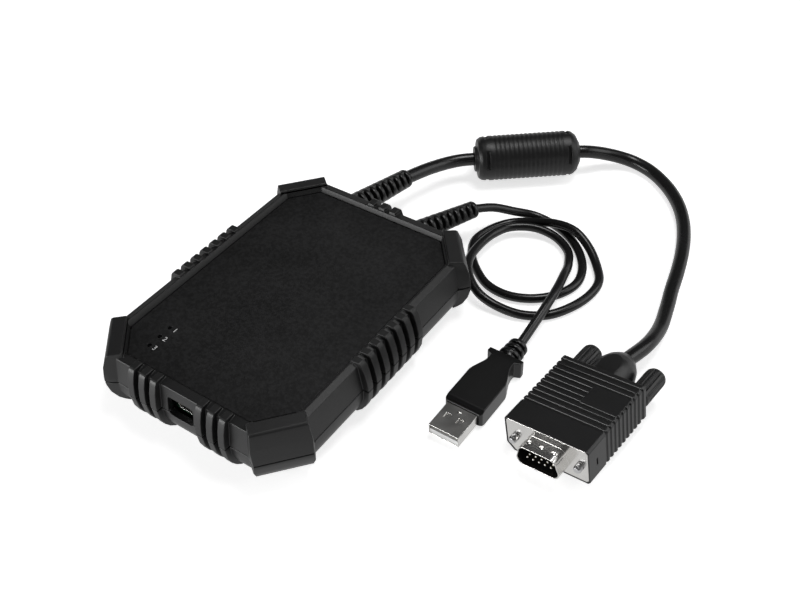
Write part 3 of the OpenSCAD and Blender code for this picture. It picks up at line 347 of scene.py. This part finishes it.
CASE = plastic("case_black", 0.006, 0.4, grain=1300.0, depth=0.3)
PLATE = plastic("plate_black", 0.0005, 0.4, grain=800.0, depth=0.8, clouding=0.35, specular=0.36,
                worn=(0.034, 0.034, 0.035, 1))
CORD = plastic("cord_black", 0.007, 0.2, grain=700.0, depth=0.2)
BOOT = plastic("boot_black", 0.006, 0.26, grain=1100.0, depth=0.2)
HOOD = plastic("hood_black", 0.008, 0.3, grain=1300.0, depth=0.2)
SLEEVE = plastic("sleeve_black", 0.004, 0.36, grain=1100.0)
GRIP = plastic("grip_black", 0.004, 0.22, grain=1300.0, depth=0.2)
INSULATOR = plastic("insulator_black", 0.012, 0.45, depth=0.1)
TONGUE = plastic("tongue_white", (0.78, 0.78, 0.77, 1), 0.35, depth=0.06)
CORE = plastic("core_black", 0.015, 0.45, depth=0.1)
CHIP = plastic("chip_black", 0.02, 0.5, grain=2000.0, depth=0.2)
# Ferrite's own dark grey, darkened further into painted shade so that the sleeve's windows show
# black
FERRITE_PAINTED_SHADE = plastic("ferrite_grey", 0.002, 0.6, grain=900.0, depth=0.5)
CREAM = plastic("header_cream", (0.75, 0.72, 0.62, 1), 0.4, depth=0.1)
BOARD = plastic("board_green", (0.003, 0.022, 0.01, 1), 0.3, grain=600.0, depth=0.2)
LAMP = plastic("lamp_cream", (0.75, 0.7, 0.45, 1), 0.25, depth=0.05)
WIRE = plastic("wire_red", (0.45, 0.02, 0.02, 1), 0.35, grain=900.0, depth=0.1)
PRINT = plastic("white_print", (0.8, 0.8, 0.8, 1), 0.5, grain=2000.0, depth=0.1)
LENS = plastic("lens_smoke", 0.002, 0.2, depth=0.02, clouding=0.02, specular=0.2)
NICKEL = metal("nickel_plate", (0.8, 0.79, 0.77, 1), 0.12)
# Painted shade: nickel darkened for the D-shaped shell's inner wall, which lies in shade
PAINTED_SHADE_NICKEL = metal("nickel_painted_shade", (0.05, 0.05, 0.05, 1), 0.4)
# Painted light on the pins: their tips are painted near white as a highlight, and their sides a
# darkened gold as shade
PIN_TIP_PAINTED_HIGHLIGHT = metal("pin_tip_painted_highlight", (0.95, 0.92, 0.86, 1), 0.3)
PIN_SIDE_PAINTED_SHADE = metal("pin_side_painted_shade", (0.16, 0.12, 0.06, 1), 0.35)
STEEL = metal("screw_steel", (0.62, 0.62, 0.63, 1), 0.24)
CAN = metal("can_metal", (0.75, 0.75, 0.77, 1), 0.22)
GOLD = metal("contact_gold", (0.86, 0.66, 0.32, 1), 0.2)


# ---------------------------------------------------------------- making pieces
# Flat faces of a copied node count as one below this turn, in degrees
FLAT_TURN = 0.5


def finish_piece(obj, material, replaces=(), body=BODY):
    """Gives a piece its finish and body, and hides the nodes that it stands for."""
    obj.data.materials.clear()
    obj.data.materials.append(material)
    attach(obj, body)
    if replaces:
        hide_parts(*replaces)
    return obj


def piece(name, bm, material, replaces=(), body=BODY, sharp=40.0, weighted=True):
    """Makes a form a smooth-shaded piece, with edges that turn more than sharp left sharp."""
    bmesh.ops.recalc_face_normals(bm, faces=bm.faces)
    mesh = bpy.data.meshes.new(name)
    bm.to_mesh(mesh)
    bm.free()
    mesh.shade_smooth()
    mesh.set_sharp_from_angle(angle=math.radians(sharp))
    obj = bpy.data.objects.new(name, mesh)
    scene.collection.objects.link(obj)
    if weighted:
        normals = obj.modifiers.new("even_normals", "WEIGHTED_NORMAL")
        normals.keep_sharp = True
    finish_piece(obj, material, replaces, body)


def merged_copy(node):
    """A node's mesh with its loose triangles joined and its flat faces made whole."""
    bm = bmesh.new()
    bm.from_mesh(nodes[node].data)
    bmesh.ops.remove_doubles(bm, verts=bm.verts, dist=2e-6)
    bmesh.ops.dissolve_limit(bm, angle_limit=math.radians(FLAT_TURN), verts=bm.verts,
                             edges=bm.edges, use_dissolve_boundaries=False)
    return bm


def soften(bm, width, segments=2, angle=25.0):
    """Rounds every edge that turns more than the angle, and keeps the form in its old box."""
    limit = math.radians(angle)
    low = [min(v.co[axis] for v in bm.verts) for axis in range(3)]
    high = [max(v.co[axis] for v in bm.verts) for axis in range(3)]
    edges = [e for e in bm.edges if len(e.link_faces) == 2 and e.calc_face_angle(0) > limit]
    bmesh.ops.bevel(bm, geom=edges, offset=width * MM, offset_type="OFFSET", segments=segments,
                    profile=0.5, affect="EDGES", clamp_overlap=False, material=-1)
    for vert in bm.verts:
        vert.co = Vector([min(max(vert.co[axis], low[axis]), high[axis]) for axis in range(3)])


def rounded(node, material, width, segments=2, angle=25.0, body=BODY):
    """A node's solid with its edges rounded, the width in millimetres."""
    bm = merged_copy(node)
    soften(bm, width, segments, angle)
    piece(node + "_rounded", bm, material, [node], body)


def keep(node, material):
    """Leaves a node as it is, in a finish of its own."""
    for holder in nodes[node].material_slots:
        holder.material = material


# ---------------------------------------------------------------- cords
def cord_curve(name, route, diameter, material, replaces):
    """A round cord whose knots aim from the point before to the point after."""
    points = [Vector(p) * MM for p in route]
    data = bpy.data.curves.new(name, "CURVE")
    data.dimensions = "3D"
    data.resolution_u = 12
    data.bevel_depth = diameter / 2 * MM
    data.bevel_resolution = 6
    data.use_fill_caps = True
    spline = data.splines.new("BEZIER")
    spline.bezier_points.add(len(points) - 1)
    for i, point in enumerate(points):
        before = points[max(i - 1, 0)]
        after = points[min(i + 1, len(points) - 1)]
        reach = (after - before) / (6 if 0 < i < len(points) - 1 else 3)
        knot = spline.bezier_points[i]
        knot.handle_left_type = knot.handle_right_type = "FREE"
        knot.co = point
        knot.handle_left = point - reach
        knot.handle_right = point + reach
    obj = bpy.data.objects.new(name, data)
    scene.collection.objects.link(obj)
    return finish_piece(obj, material, replaces)


# ---------------------------------------------------------------- shaping help
def lathe(outline, place, steps=64):
    """A closed form turned about its own Z axis from (radius, height) points in millimetres."""
    bm = bmesh.new()
    verts = [bm.verts.new((radius * MM, 0, height * MM)) for radius, height in outline]
    edges = [bm.edges.new(pair) for pair in zip(verts, verts[1:])]
    bmesh.ops.spin(bm, geom=verts + edges, axis=(0, 0, 1), cent=(0, 0, 0), angle=math.tau,
                   steps=steps, use_merge=True)
    bmesh.ops.remove_doubles(bm, verts=bm.verts, dist=1e-6)
    bmesh.ops.recalc_face_normals(bm, faces=bm.faces)
    bm.transform(place)
    return bm


def round_edges(outline, radius, steps=3):
    """Rounds the inner corners of an open outline of (radius, height) points."""
    result = [outline[0]]
    for before, at, after in zip(outline, outline[1:], outline[2:]):
        a, b, c = Vector(before), Vector(at), Vector(after)
        reach = min(radius, (a - b).length * 0.45, (c - b).length * 0.45)
        start = b + (a - b).normalized() * reach
        stop = b + (c - b).normalized() * reach
        for i in range(steps + 1):
            t = i / steps
            result.append(tuple((1 - t) ** 2 * start + 2 * t * (1 - t) * b + t ** 2 * stop))
    result.append(outline[-1])
    return result


def along(start, end):
    """A place whose Z axis runs from one point to another, in millimetres, with no roll."""
    start, end = Vector(start), Vector(end)
    z = (end - start).normalized()
    x = Vector((0, 0, 1)).cross(z).normalized()
    turn = Matrix((x, z.cross(x), z)).transposed().to_4x4()
    turn.translation = start * MM
    return turn


def join(*forms):
    """One form that holds all the forms, which are freed."""
    whole = bmesh.new()
    for form in forms:
        mesh = bpy.data.meshes.new("part_form")
        form.to_mesh(mesh)
        form.free()
        whole.from_mesh(mesh)
        bpy.data.meshes.remove(mesh)
    return whole


def parted(bm, place, wanted):
    """Two forms: the faces that wanted(centre, normal) picks in the frame of place, and the rest."""
    bmesh.ops.recalc_face_normals(bm, faces=bm.faces)
    back = place.inverted()
    turn = back.to_3x3()
    rest = bm.copy()
    bm.faces.ensure_lookup_table()
    rest.faces.ensure_lookup_table()
    picked = [wanted(back @ f.calc_center_median() / MM, turn @ f.normal) for f in bm.faces]
    bmesh.ops.delete(rest, geom=[f for f, yes in zip(rest.faces, picked) if yes], context="FACES")
    bmesh.ops.delete(bm, geom=[f for f, yes in zip(bm.faces, picked) if not yes], context="FACES")
    return bm, rest


# ---------------------------------------------------------------- the box
PLATE_TOP = 23.1
# The long rims' inner crest leans outwards more than the solid's, along their straight part
RIM_TOP = 24.9
RIM_CREST = (38.2, 38.6)
RIM_STRAIGHT = 44
RIM_LEAN_MORE = 0.75
LAMP_WINDOWS = [(-25.5, -36.5 - 5.05 * i) for i in range(3)]
NUMBER_SIZE = 2.9
NUMBER_THICKNESS = 0.02
NUMBER_STEP = (1.9, -1.0)


def make_box():
    upper = merged_copy("upper_case")
    for vert in upper.verts:
        x, y, z = vert.co / MM
        on_crest = RIM_CREST[0] < abs(x) < RIM_CREST[1] and abs(z - RIM_TOP) < 0.05
        if on_crest and abs(y) < RIM_STRAIGHT:
            vert.co.x += math.copysign(RIM_LEAN_MORE * MM, x)
    soften(upper, 0.25, 3)
    piece("upper_case_rounded", upper, CASE, ["upper_case"])
    rounded("lower_case", CASE, 0.3, 3)
    rounded("top_plate", PLATE, 0.12)
    rounded("light_pipes", LENS, 0.25, 3)
    rounded("case_screws", STEEL, 0.15)


def make_lamp_numbers():
    """Plain white numbers beside the three lamp windows."""
    whole = bmesh.new()
    for number, (x, y) in enumerate(LAMP_WINDOWS, 1):
        curve = bpy.data.curves.new("lamp_number", "FONT")
        curve.body = str(number)
        curve.size = NUMBER_SIZE * MM
        curve.extrude = NUMBER_THICKNESS * MM
        words = bpy.data.objects.new("lamp_number", curve)
        scene.collection.objects.link(words)
        bpy.context.view_layer.update()
        mesh = bpy.data.meshes.new_from_object(words)
        corner = (x + NUMBER_STEP[0], y + NUMBER_STEP[1], PLATE_TOP + NUMBER_THICKNESS)
        mesh.transform(Matrix.Translation(Vector(corner) * MM))
        whole.from_mesh(mesh)
        bpy.data.meshes.remove(mesh)
        bpy.data.objects.remove(words)
        bpy.data.curves.remove(curve)
    piece("lamp_numbers", whole, PRINT, weighted=False)


def make_socket():
    rounded("mini_socket_shell", NICKEL, 0.06)
    rounded("mini_socket_core", CORE, 0.08)


def make_inner_parts():
    """The finishes of the nodes that stay as they are."""
    for names, material in (
            (("circuit_board",), BOARD),
            (("capture_chip", "memory_chips", "bridge_chip"), CHIP),
            (("crystal_can", "capacitors"), CAN),
            # The ferrite's finish holds painted shade, darker than ferrite itself
            (("coils", "sleeve_ferrite"), FERRITE_PAINTED_SHADE),
            (("status_lamps",), LAMP),
            (("mini_socket_contacts", "keyboard_contacts"), GOLD),
            (("video_header", "keyboard_header"), CREAM),
            (("video_wires", "keyboard_wires"), WIRE),
            (("video_lead_end", "keyboard_lead_end"), CORD)):
        for node in names:
            keep(node, material)


# ---------------------------------------------------------------- boots on the back wall
BACK_WALL = 60.1
LEAD_HEIGHT = 14.0
BOOT_RIBS = 8
# The ribbed stretch as shares of a boot's length, the slots' floor and the tip as shares of its
# radius, and the places in one pitch where a slot's floor ends and the next rib is full
RIBS_FROM = 0.13
RIBS_TO = 0.9
SLOT_FLOOR = 0.62
SLOT_END = 0.37
RIB_FULL = 0.42
TIP_SHARE = 0.8
SLOT_STEP = 0.03
RIB_ROUNDING = 0.5
# The spines between the slots: their radius, half their width and their turn in degrees
SPINE_RADIUS = 0.985
SPINE_HALF = 0.5
SPINE_TURN = -37


def make_boot(name, x, diameter, end):
    """A ribbed boot: open slots on two sides between solid spines, and a plain nose."""
    foot = Vector((x, BACK_WALL, LEAD_HEIGHT))
    length = (Vector(end) - foot).length
    place = along(foot, end)
    radius = diameter / 2
    low, high = RIBS_FROM * length, RIBS_TO * length
    pitch = (high - low) / BOOT_RIBS
    outline = [(0, 0), (radius, 0), (radius, low)]
    for i in range(BOOT_RIBS):
        r = radius * (1 - (1 - TIP_SHARE) * (i + 0.5) / BOOT_RIBS)
        z = low + i * pitch
        outline += [(r * SLOT_FLOOR, z + SLOT_STEP), (r * SLOT_FLOOR, z + pitch * SLOT_END),
                    (r, z + pitch * RIB_FULL), (r, z + pitch)]
    tip = radius * TIP_SHARE
    nose = length - high
    outline += [(tip * SLOT_FLOOR, high + SLOT_STEP), (tip * SLOT_FLOOR, high + nose * 0.25),
                (tip, high + nose * 0.32), (tip, high + nose * 0.7), (tip * 0.86, length),
                (0, length)]
    ribs = lathe(round_edges(outline, RIB_ROUNDING), place)
    spine_end = high + nose * 0.5
    spine = lathe([(0, 0.1), (radius * SPINE_RADIUS, 0.1), (radius * SPINE_RADIUS, low),
                   (tip * SPINE_RADIUS, spine_end), (0, spine_end)], Matrix.Identity(4))
    for side in (-1, 1):
        cut = bmesh.ops.bisect_plane(
            spine, geom=spine.verts[:] + spine.edges[:] + spine.faces[:],
            plane_co=(side * radius * SPINE_HALF * MM, 0, 0), plane_no=(side, 0, 0),
            clear_outer=True)
        rim = [e for e in cut["geom_cut"] if isinstance(e, bmesh.types.BMEdge)]
        bmesh.ops.holes_fill(spine, edges=rim)
    spine.transform(place @ Matrix.Rotation(math.radians(SPINE_TURN), 4, "Z"))
    piece(name + "_ribs", join(ribs, spine), BOOT, [name], sharp=50)


def make_boots():
    make_boot("video_boot", -20.2, 10.0, VIDEO_ROUTE[0])
    make_boot("keyboard_boot", 10.2, 8.9, KEYBOARD_ROUTE[0])


# ---------------------------------------------------------------- sleeve and video plug
# The plug's turn and tilt on the table in degrees, and its face's place from the cord's end
PLUG_TURN = -4.4
PLUG_TILT = -8.4
PLUG_FACE = (0, -50.6, -7.3)
# The D-shaped shell: its axis' height, its depth, the reach and the flat middle of its inner wall
DSUB_AXIS = 6.57
DSUB_DEPTH = (-5.62, -0.05)
DSUB_REACH_X = 8.3
DSUB_REACH_Z = 4.1
DSUB_FLAT = 4.0
# Dimples pressed into the shell's top: an outline of (radius, height), and their places
DIMPLE = [(0, 0.3), (0.35, 0.27), (0.65, 0.18), (0.9, 0.05), (1.0, -0.1), (0, -0.1)]
DIMPLE_PLACES = [(x, -2.9, DSUB_AXIS + 4.18) for x in (-4.7, 0, 4.7)]
DIMPLE_STEPS = 24
# A face counts as a pin's tip when it looks this far forwards, and as an inner wall's when it
# looks this far inwards
# A pin's forward faces get the painted highlight, and its other faces the painted shade
TIP_FACING = -0.3
# An inner wall's faces get the painted shade
WALL_FACING = 0.3


def make_sleeve():
    rounded("sleeve_cover", SLEEVE, 0.25, 3)


def video_plug_place():
    """The video plug's own frame: X across, Y from its face back to the cord, Z up, in metres."""
    return (Matrix.Translation(Vector(VIDEO_ROUTE[-1]) * MM)
            @ Matrix.Rotation(math.radians(PLUG_TURN), 4, "Z")
            @ Matrix.Rotation(math.radians(PLUG_TILT), 4, "Y")
            @ Matrix.Translation(Vector(PLUG_FACE) * MM))


def inside_shell(centre, normal):
    """True for a face of the D-shaped shell's inner wall, which gets a painted shade."""
    if not DSUB_DEPTH[0] < centre.y < DSUB_DEPTH[1]:
        return False
    if abs(centre.x) > DSUB_REACH_X or abs(centre.z - DSUB_AXIS) > DSUB_REACH_Z:
        return False
    middle_x = max(-DSUB_FLAT, min(DSUB_FLAT, centre.x))
    inward = Vector((middle_x - centre.x, 0, DSUB_AXIS - centre.z))
    return inward.length > 0.5 and normal.dot(inward.normalized()) > WALL_FACING


def make_video_plug():
    place = video_plug_place()
    rounded("video_hood", HOOD, 0.2)
    rounded("video_hood_boot", HOOD, 0.2, angle=12.0)
    rounded("video_insulator", INSULATOR, 0.1)
    flange = merged_copy("video_flange")
    soften(flange, 0.12)
    inner, outer = parted(flange, place, inside_shell)
    piece("video_flange_dimpled", outer, NICKEL, ["video_flange"])
    # The shell's inner wall takes the painted shade, and the rest keeps the plain nickel
    piece("video_flange_inside", inner, PAINTED_SHADE_NICKEL)
    dimples = join(*(lathe(DIMPLE, place @ Matrix.Translation(Vector(spot) * MM), DIMPLE_STEPS)
                     for spot in DIMPLE_PLACES))
    piece("video_flange_dimples", dimples, NICKEL)
    pins = merged_copy("video_pins")
    soften(pins, 0.16)
    # Pin tips take the painted highlight, and their sides the painted shade
    tips, sides = parted(pins, place, lambda centre, normal: normal.y < TIP_FACING)
    piece("video_pin_sides", sides, PIN_SIDE_PAINTED_SHADE, ["video_pins"])
    piece("video_pin_tips", tips, PIN_TIP_PAINTED_HIGHLIGHT)
    for side in ("left", "right"):
        body = side + "_thumb_screw"
        rounded(side + "_jack_knob", HOOD, 0.22, body=body)
        rounded(side + "_jack_screw", STEEL, 0.12, body=body)


# ---------------------------------------------------------------- keyboard plug
# The middle of the shell's top where it enters the grip, from the cord's end
SHELL_START = (0, -39.4, 2.25)
LEAF_SIZE = (2.58, 2.58, 0.2)
LEAF_X = 2.52
LEAF_BACK = -5.46
LEAF_SINK = -0.55
BUMP_RADIUS = 1.15
BUMP_CENTRE = (0, -2.12, -0.75)
BUMP_CUT = 0.1


def make_keyboard_plug():
    rounded("keyboard_grip", GRIP, 0.35, 3)
    rounded("keyboard_relief", GRIP, 0.22)
    rounded("keyboard_shell", NICKEL, 0.12)
    rounded("keyboard_tongue", TONGUE, 0.1)
    top = Vector(KEYBOARD_ROUTE[-1]) + Vector(SHELL_START)
    leaves = bmesh.new()
    size = Matrix.Diagonal([length * MM for length in LEAF_SIZE] + [1])
    for side in (-1, 1):
        middle = top + Vector((side * LEAF_X, LEAF_BACK, LEAF_SINK))
        bmesh.ops.create_cube(leaves, size=1, matrix=Matrix.Translation(middle * MM) @ size)
    piece("keyboard_shell_leaves", leaves, NICKEL)
    bump = bmesh.new()
    bmesh.ops.create_uvsphere(bump, u_segments=32, v_segments=24, radius=BUMP_RADIUS * MM,
                              matrix=Matrix.Translation((top + Vector(BUMP_CENTRE)) * MM))
    low = [f for f in bump.faces if f.calc_center_median().z < (top.z - BUMP_CUT) * MM]
    bmesh.ops.delete(bump, geom=low, context="FACES")
    piece("keyboard_shell_bump", bump, NICKEL)


# ---------------------------------------------------------------- the whole
make_camera()
video_cord = cord_curve("video_cord_round", VIDEO_ROUTE, VIDEO_DIAMETER, CORD,
                        ["video_cord"])
keyboard_cord = cord_curve("keyboard_cord_round", KEYBOARD_ROUTE, KEYBOARD_DIAMETER, CORD,
                           ["keyboard_cord"])
make_light()
make_floor()
make_box()
make_lamp_numbers()
make_socket()
make_inner_parts()
make_boots()
make_sleeve()
make_video_plug()
make_keyboard_plug()

scene.view_settings.view_transform = "Standard"
